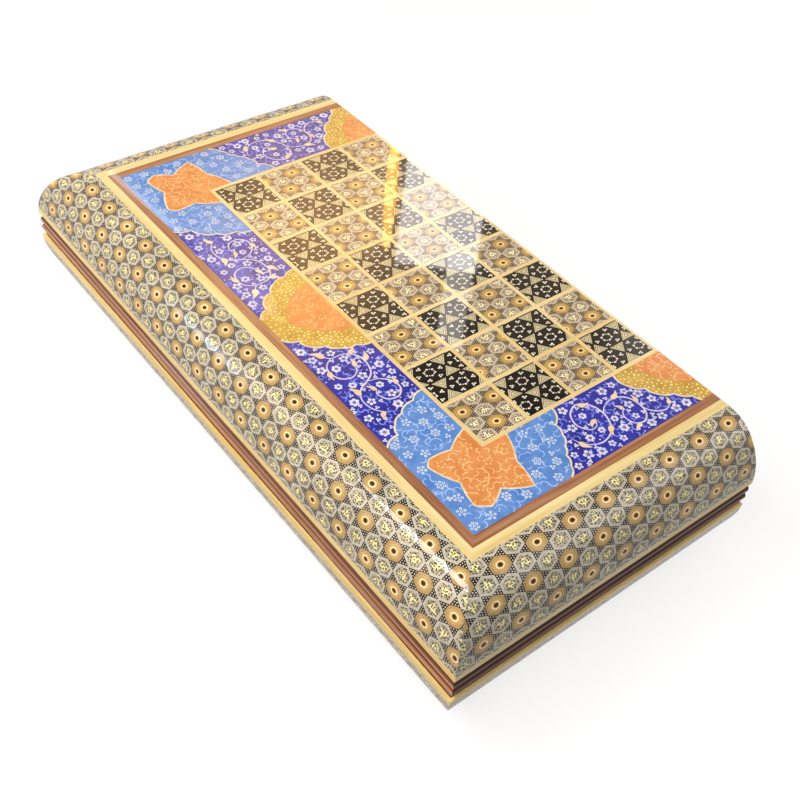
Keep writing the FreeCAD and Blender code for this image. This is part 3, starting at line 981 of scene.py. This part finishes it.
big = filled_in(blue_zone, margin=4.2, apart=9.5, clear=star_edge, hole=star_zone)
for x, y in big:
    petals = flower(x, y, random.choice((5, 6)), reach=2.3, radius=1.1)
    ring_petals += petals
    ring_petals.append((x, y, RING_CENTRE))
    ring_hearts += hearts(petals, RING_HEART)
    ring_hearts.append((x, y, RING_CENTRE_HEART))
blue_outline = outline_points(blue_zone) + outline_points(star_zone)
small = filled_in(blue_zone, margin=2.2, apart=3.2, clear=star_edge, hole=star_zone)
for x, y in away_from(small, big, gap=4.4):
    if random.random() < BLUE_TREFOILS:
        petals = flower(x, y, count=3, reach=1.15, radius=0.95)
        ring_petals += petals
        ring_hearts += hearts(petals, TREFOIL_HEART)
    else:
        reach = min(random.uniform(2.4, 4.2), room((x, y), blue_outline))
        pale_curls.append(comma(x, y, reach))

for zone in (star_zone, heart_end_zone, heart_side_zone):
    big = filled_in(zone, margin=5.0, apart=12.0)
    for x, y in big:
        petals = flower(x, y, count=5, reach=2.2, radius=0.85)
        yellow_dots += petals
        brown_dots += hearts(petals, BROWN_HEART)
    small = filled_in(zone, margin=2.4, apart=3.4)
    for x, y in away_from(small, big, gap=4.2):
        reach = min(random.uniform(1.9, 3.4), room((x, y), outline_points(zone)))
        warm_curls.append(comma(x, y, reach))

for zone, heart_zone, heart_edge in ((gold_end_zone, heart_end_zone, heart_end_edge),
                                     (gold_side_zone, heart_side_zone, heart_side_edge)):
    for x, y in filled_in(zone, margin=1.5, apart=2.5, clear=heart_edge, hole=heart_zone):
        yellow_dots.append((x, y, random.uniform(0.5, 0.95)))

outlines = [blue_end_edge, blue_side_edge, star_edge, gold_side_edge, gold_end_edge]
light_blue = painted("light_blue", "#648BC6", "#4A76B8", 10 * MM)
orange = painted("orange", "#D69052", "#C8773C", 10 * MM)
gold_paint = painted("gold", "#C6A34A", "#AC8330", 8 * MM)
cream_paint = painted("cream", "#E6CDAE", "#D2B28A", 4 * MM)
lilac_paint = painted("lilac_white", "#D4CADA", "#BEB0C6", 6 * MM)
outline_paint = painted("pale_outline", "#E2D6B8", "#C9B78E", 4 * MM)
white_paint = painted("white", "#D8D6E4", "#ACACD6", 3 * MM)
ochre_paint = painted("ochre", "#B9904E", "#8E6A38", 4 * MM)
sky_paint = painted("sky_blue", "#808CE2", "#5462CC", 5 * MM)
ice_paint = painted("ice_blue", "#ACC6EE", "#86ABE2", 5 * MM)
bone_paint = painted("bone_white", "#DFE2E0", "#BCCBE2", 4 * MM)
navy_paint = painted("navy", "#2A427E", "#1E3264", 5 * MM)
peach_paint = painted("peach", "#FBD09C", "#F5B46E", 5 * MM)
yellow_paint = painted("yellow", "#FBECA6", "#F0D676", 5 * MM)
umber_paint = painted("umber", "#6A3F20", "#54301A", 5 * MM)

leaf_outlines = [flowing(shape + shape[:1]) for shape in leaves]
orange_zones = [star_zone, heart_side_zone, heart_end_zone]
ornament = [
    (plates("light_blue", [blue_zone], films=1), light_blue),
    (plates("gold", [gold_side_zone, gold_end_zone], films=1), gold_paint),
    (plates("orange", orange_zones, films=1.6), orange),
    (plates("leaves", leaf_outlines, films=2.6), cream_paint),
    (strokes("outlines", outlines, width=1.4, films=3, tapered=False), outline_paint),
    (strokes("stems", stems, width=1.15, films=2.4), lilac_paint),
    (strokes("sky_curls", sky_curls, width=0.95, films=2), sky_paint),
    (strokes("pale_curls", pale_curls, width=0.85, films=2.2), ice_paint),
    (strokes("warm_curls", warm_curls, width=0.75, films=3), peach_paint),
    (dabs("white_petals", white_petals, films=2.4), white_paint),
    (dabs("ochre_hearts", ochre_hearts, films=3), ochre_paint),
    (dabs("ring_petals", ring_petals, films=2.4), bone_paint),
    (dabs("ring_hearts", ring_hearts, films=3), navy_paint),
    (dabs("yellow_dots", yellow_dots, films=2.6), yellow_paint),
    (dabs("brown_dots", brown_dots, films=3.4), umber_paint),
]
for piece, material in ornament:
    name = piece.name
    far = copied(piece, name + "_far", MIRROR_ENDS)
    join([piece, far])
    smooth(piece, degrees=40)
    settle(piece, "upper_leaf", "painted_panel", material)
    twin = copied(piece, name.replace("upper", "lower"), MIRROR_LEAVES)
    settle(twin, "lower_leaf", "painted_panel", material)


# Floor, light and camera


STAGE_RADIUS = 5.0
STAGE_HEIGHT = 5.5
STAGE_SWEEP = 1.2
STAGE_DROP = 0.2 * MM


def studio_floor():
    """A pale floor that sweeps up to a round backdrop, white to the eye but for the shadow."""
    deselect()
    middle = cad_low.z - STAGE_DROP + STAGE_HEIGHT / 2
    tub = {"radius": STAGE_RADIUS, "depth": STAGE_HEIGHT, "location": (0, 0, middle)}
    bpy.ops.mesh.primitive_cylinder_add(vertices=96, **tub)
    floor = bpy.context.object
    floor.name = "studio_floor"
    apply_place(floor)

    def is_low(line):
        """Whether an edge lies round the foot of the backdrop."""
        return all(floor.data.vertices[i].co.z < middle for i in line.vertices)

    edit_only(floor, "FACE", lambda face: face.normal.z > FACING)
    bpy.ops.mesh.delete(type="FACE")
    edit_only(floor, "EDGE", is_low)
    bpy.ops.mesh.bevel(offset=STAGE_SWEEP, segments=10)
    bpy.ops.mesh.select_all(action="SELECT")
    bpy.ops.mesh.flip_normals()
    smooth(floor, degrees=40)
    material, tree = new_material("pale_studio_floor")
    height = add(tree, "SeparateXYZ", [along_x(tree)]).node.outputs["Z"]
    glow = add(tree, "MapRange", {
        "Value": height, "From Min": 3.6, "From Max": 5.2, "To Min": 0.78, "To Max": 0.0,
    })
    warmth = add(tree, "MapRange", {"Value": height, "From Min": 1.4, "From Max": 2.8})
    tone = add(tree, "Mix", [warmth, linear("#FFFFFF"), linear("#FFDCA8")], data_type="RGBA")
    rays = add(tree, "LightPath").node.outputs
    seen = add(tree, "Math", [rays["Is Camera Ray"], rays["Is Glossy Ray"]], operation="MAXIMUM")
    seen = add(tree, "Math", [seen, rays["Is Transmission Ray"]], operation="MAXIMUM")
    glow = add(tree, "Math", [seen, glow], operation="MULTIPLY")
    shader = add(tree, "BsdfPrincipled", {
        "Base Color": linear("#858381"), "Roughness": 0.9, "Specular IOR Level": 0.1,
        "Emission Color": tone, "Emission Strength": glow,
    })
    add(tree, "OutputMaterial", {"Surface": shader})
    floor.data.materials.append(material)


def soft_lamp(name, place, aim, width, height, power, code="#FFFFFF", shape="RECTANGLE", roll=0):
    """A flat studio lamp that faces a point, rolled by some degrees about its own middle."""
    data = bpy.data.lights.new(name, "AREA")
    data.shape = shape
    data.size = width
    data.size_y = height
    data.energy = power
    data.color = linear(code)[:3]
    lamp = bpy.data.objects.new(name, data)
    bpy.context.collection.objects.link(lamp)
    lamp.location = place
    facing = (Vector(aim) - Vector(place)).to_track_quat("-Z", "Y")
    lamp.rotation_euler = (facing @ Quaternion((0, 0, 1), math.radians(roll))).to_euler()
    return data


def fade(data):
    """Lets a lamp fade from its middle to its rim."""
    data.use_nodes = True
    tree = data.node_tree
    tree.nodes.clear()
    place = add(tree, "NewGeometry", output="Parametric")
    far = add(tree, "VectorMath", [place, (0.5, 0.5, 0)], "Value", operation="DISTANCE")
    share = {"Value": far, "From Min": 0.0, "From Max": 0.5, "To Min": 1.0, "To Max": 0.0}
    glow = add(tree, "MapRange", share, interpolation_type="SMOOTHSTEP")
    shader = add(tree, "Emission", {"Strength": glow})
    add(tree, "OutputLight", {"Surface": shader})


studio_floor()
world = bpy.data.worlds.new("soft_studio")
world.use_nodes = True
world.node_tree.nodes["Background"].inputs["Color"].default_value = linear("#F4F6FA")
world.node_tree.nodes["Background"].inputs["Strength"].default_value = 0.16
bpy.context.scene.world = world

# Room light: a broad key lamp, a fill on each side and a small ceiling lamp
soft_lamp("key_lamp", (-0.95, -0.25, 1.18), (0, 0, 0.05), 1.0, 1.0, 15.5)
soft_lamp("front_fill", (0.62, -0.78, 0.75), (0.08, -0.2, 0.05), 0.7, 0.6, 4.0)
soft_lamp("left_fill", (-0.95, 0.55, 0.8), (-0.12, 0.15, 0.07), 0.6, 0.6, 6.5, "#FFE6C6")
soft_lamp("fold_fill", (1.25, 0.1, 0.4), (0.1, 0, 0.05), 0.8, 0.5, 4)
soft_lamp("far_fill", (-0.1, 1.35, 0.5), (0, 0.2, 0.05), 0.8, 0.5, 3.5)
soft_lamp("ceiling_lamp", (-0.51, 0.31, 1.12), (-0.1, -0.1, 0.1), 0.17, 0.4, 5)

# Small lamps that mirror in the lacquer as a window, a gilt curtain and thin streaks
soft_lamp("window_lamp", (1.063, 1.044, 0.976), (0.134, 0.076, 0.103), 0.18, 0.40, 1.5, "#F2F0F4")
soft_lamp("window_gap", (0.927, 0.830, 1.114), (0.044, -0.041, 0.103), 0.055, 0.20, 0.17, "#F0EAE2")
soft_lamp("gilt_edge", (0.840, 0.966, 0.887), (0.086, 0.084, 0.103), 0.024, 0.24, 0.18,
          "#FFB83E", "ELLIPSE")
soft_lamp("gilt_veil", (0.806, 0.977, 0.893), (0.071, 0.085, 0.103), 0.07, 0.25, 0.06,
          "#FFD9A0", "ELLIPSE")
soft_lamp("rosy_streak", (0.496, 0.996, 0.978), (-0.066, 0.058, 0.103), 0.05, 0.22, 0.05,
          "#FFE6EA", "ELLIPSE", 45)
soft_lamp("edge_streak", (0.422, 1.197, 0.904), (-0.076, 0.163, 0.103), 0.012, 0.20, 0.03,
          "#EAF2FF", "ELLIPSE", 45)

# Lamps with soft edges: two veils over the chess face, and a cool sheen on the long bulge
warm_veil = soft_lamp("warm_veil", (0.645, 0.981, 0.942), (-0.004, 0.067, 0.103), 0.60, 0.75, 5.0,
                      "#FFC376", "ELLIPSE")
side_streak = soft_lamp("side_streak", (-0.930, 0.800, 0.500), (-0.111, 0.018, 0.094), 0.28, 0.35, 5.0,
                        "#A4CCF2", "ELLIPSE")
pale_veil = soft_lamp("pale_veil", (1.078, 0.443, 0.970), (0.142, -0.134, 0.103), 0.25, 0.35, 0.35,
                      "#FFF4EC", "ELLIPSE")
for lamp_data in (warm_veil, side_streak, pale_veil):
    fade(lamp_data)

# The camera, fitted to the photo: place in metres, turn in degrees, lens and sensor in millimetres
CAMERA_PLACE = (-0.37126, -0.45032, 0.57800)
CAMERA_TURN = (45.1822, -4.5922, -37.9770)
CAMERA_LENS = 50.051
CAMERA_SENSOR = 36
camera_data = bpy.data.cameras.new("photo_camera")
camera_data.sensor_width = CAMERA_SENSOR
camera_data.lens = CAMERA_LENS
camera = bpy.data.objects.new("photo_camera", camera_data)
bpy.context.collection.objects.link(camera)
camera.location = CAMERA_PLACE
camera.rotation_euler = [math.radians(a) for a in CAMERA_TURN]
bpy.context.scene.camera = camera
bpy.context.scene.view_settings.view_transform = "Standard"
